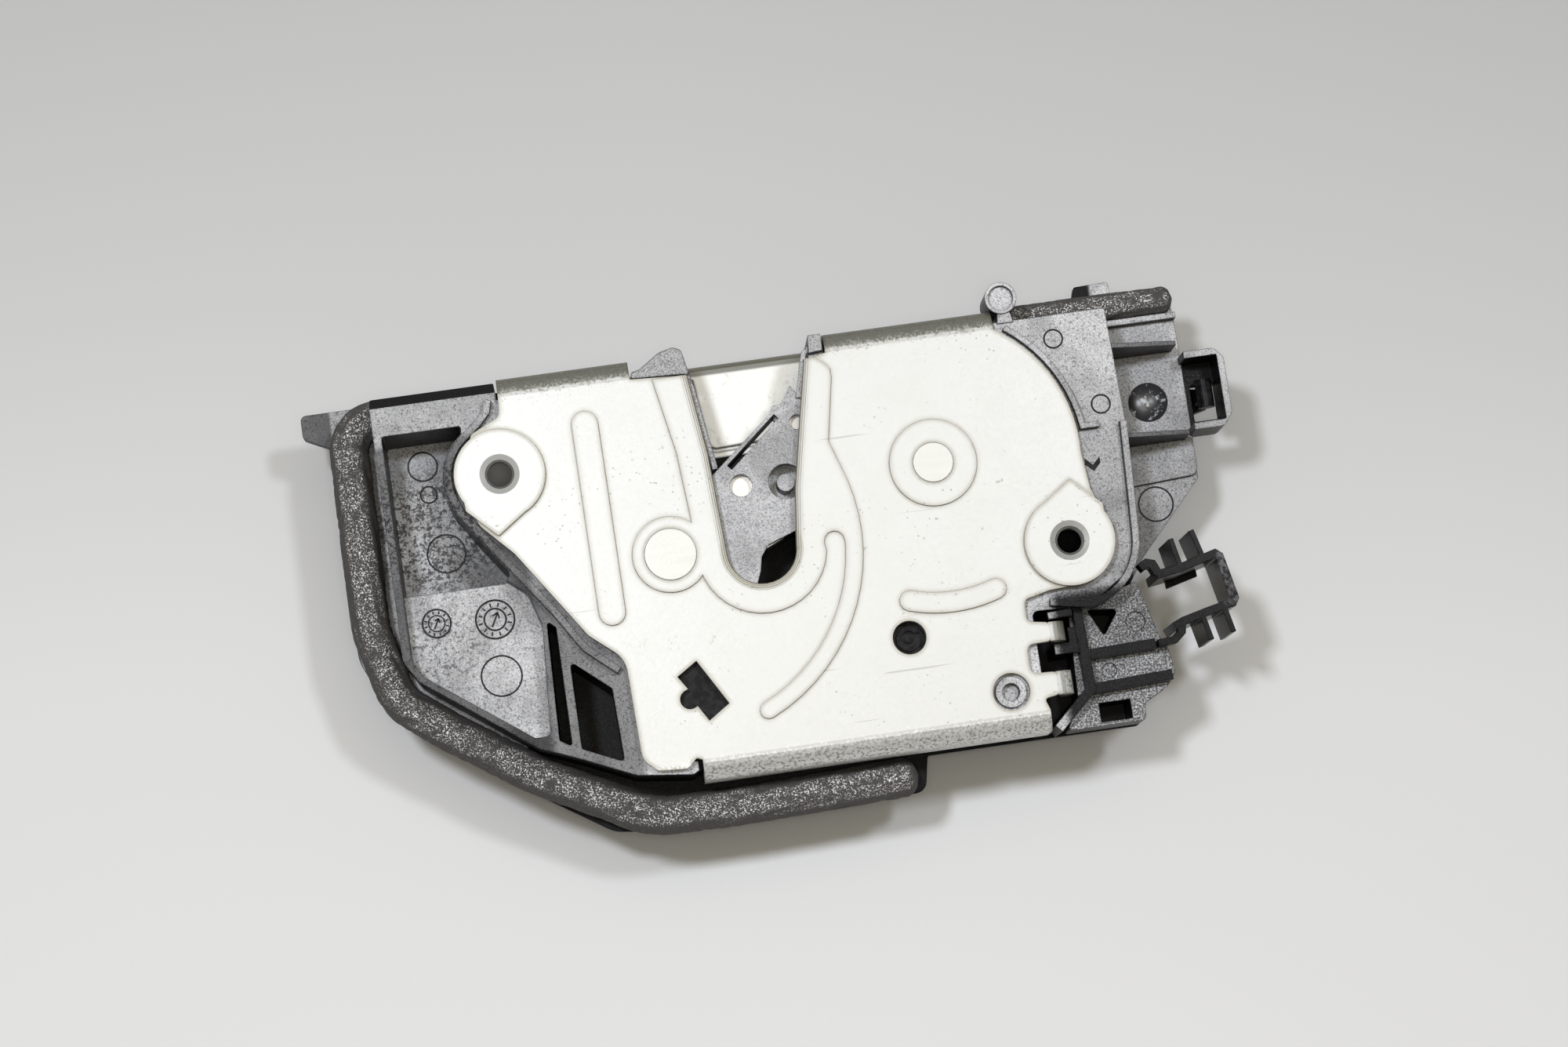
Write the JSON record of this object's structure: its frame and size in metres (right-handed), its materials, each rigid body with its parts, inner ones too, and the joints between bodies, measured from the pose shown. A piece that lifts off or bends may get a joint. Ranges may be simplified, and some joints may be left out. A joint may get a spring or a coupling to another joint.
{
  "type": "car door latch",
  "caption": "Car side-door latch: pressed lock plate with fishmouth over a moulded housing, rotary catch, sprung pawl, foam seal and actuator case.",
  "frame": {"origin": "midway between the two fixing holes, on the face that bolts to the door", "axes": "+Z out of the lock plate, +X along it, +Y towards the open end of the fishmouth"},
  "size_m": [0.1626, 0.087, 0.038],
  "materials": {
    "plated_steel": "zinc plated, satin, nearly white",
    "black_moulding": "fine grained black moulding",
    "grey_moulding": "dark grey moulding",
    "bright_steel": "plated steel",
    "spring_steel": "plain steel wire and bar",
    "black_rubber": "smooth black rubber",
    "natural_moulding": "uncoloured moulding",
    "contact_brass": "tinned brass blades",
    "foam": "open dark foam",
    "gloss_moulding": "glossy black moulding"
  },
  "bodies": {
    "lock_body": {"lock_plate": "plated_steel", "latch_housing": "black_moulding", "mouth_liner": "grey_moulding", "back_plate": "bright_steel", "catch_rivet": "bright_steel", "catch_spring": "spring_steel", "catch_buffer": "black_rubber", "pawl_rivet": "bright_steel", "pawl_spring": "spring_steel", "actuator_case": "black_moulding", "motor": "spring_steel", "wheel_pin": "spring_steel", "lever_pin": "black_moulding", "ajar_switch": "black_moulding", "contact_pins": "contact_brass", "foam_seal": "foam", "foam_strip": "foam", "cable_clip": "gloss_moulding", "case_screws": "spring_steel"},
    "catch": {"catch_core": "bright_steel", "catch_jacket": "grey_moulding"},
    "pawl": {"pawl": "bright_steel", "pawl_jacket": "black_moulding"},
    "release": {"release_lever": "bright_steel"},
    "wheel": {"worm_wheel": "natural_moulding"},
    "worm": {"worm": "natural_moulding"},
    "locking": {"locking_lever": "natural_moulding"},
    "inside": {"inside_lever": "black_moulding"},
    "plunger": {"switch_plunger": "natural_moulding"}
  },
  "joints": [
    {"name": "catch_turn", "type": "hinge", "parent": "lock_body", "child": "catch", "pos_m": [-0.0207, -0.0053, -0.0078], "axis": [0, 0, 1], "range_deg": [-84.3, 0], "stiffness_Nm_per_rad": 0.1, "springref_deg": 34.38},
    {"name": "pawl_turn", "type": "hinge", "parent": "lock_body", "child": "pawl", "pos_m": [0.0265, 0.0042, -0.0078], "axis": [0, 0, 1], "range_deg": [-9, 4], "stiffness_Nm_per_rad": 0.1},
    {"name": "release_turn", "type": "hinge", "parent": "lock_body", "child": "release", "pos_m": [0.0265, 0.0042, -0.0163], "axis": [0, 0, 1], "range_deg": [-9, 4]},
    {"name": "wheel_turn", "type": "hinge", "parent": "lock_body", "child": "wheel", "pos_m": [0.004, -0.0135, -0.028], "axis": [0, 0, 1], "range_deg": [-20, 20]},
    {"name": "worm_turn", "type": "hinge", "parent": "lock_body", "child": "worm", "pos_m": [0.004, -0.03, -0.028], "axis": [1, 0, 0], "range_deg": [-720, 720]},
    {"name": "locking_turn", "type": "hinge", "parent": "lock_body", "child": "locking", "pos_m": [0.036, -0.0135, -0.024], "axis": [0, 0, 1], "range_deg": [-6.5, 6.5]},
    {"name": "inside_turn", "type": "hinge", "parent": "lock_body", "child": "inside", "pos_m": [0.0675, 0.0117, -0.024], "axis": [0, 0, 1], "range_deg": [-12, 0], "stiffness_Nm_per_rad": 0.02, "springref_deg": 17.19},
    {"name": "plunger_slide", "type": "slide", "parent": "lock_body", "child": "plunger", "axis": [1, 0, 0], "range_m": [-0.0012, 0], "stiffness_N_per_m": 200, "springref_m": 0.002}
  ],
  "couplings": [
    {"joint": "release_turn", "follows": "pawl_turn", "ratio": 1},
    {"joint": "worm_turn", "follows": "wheel_turn", "ratio": -36},
    {"joint": "locking_turn", "follows": "wheel_turn", "ratio": -0.325}
  ]
}
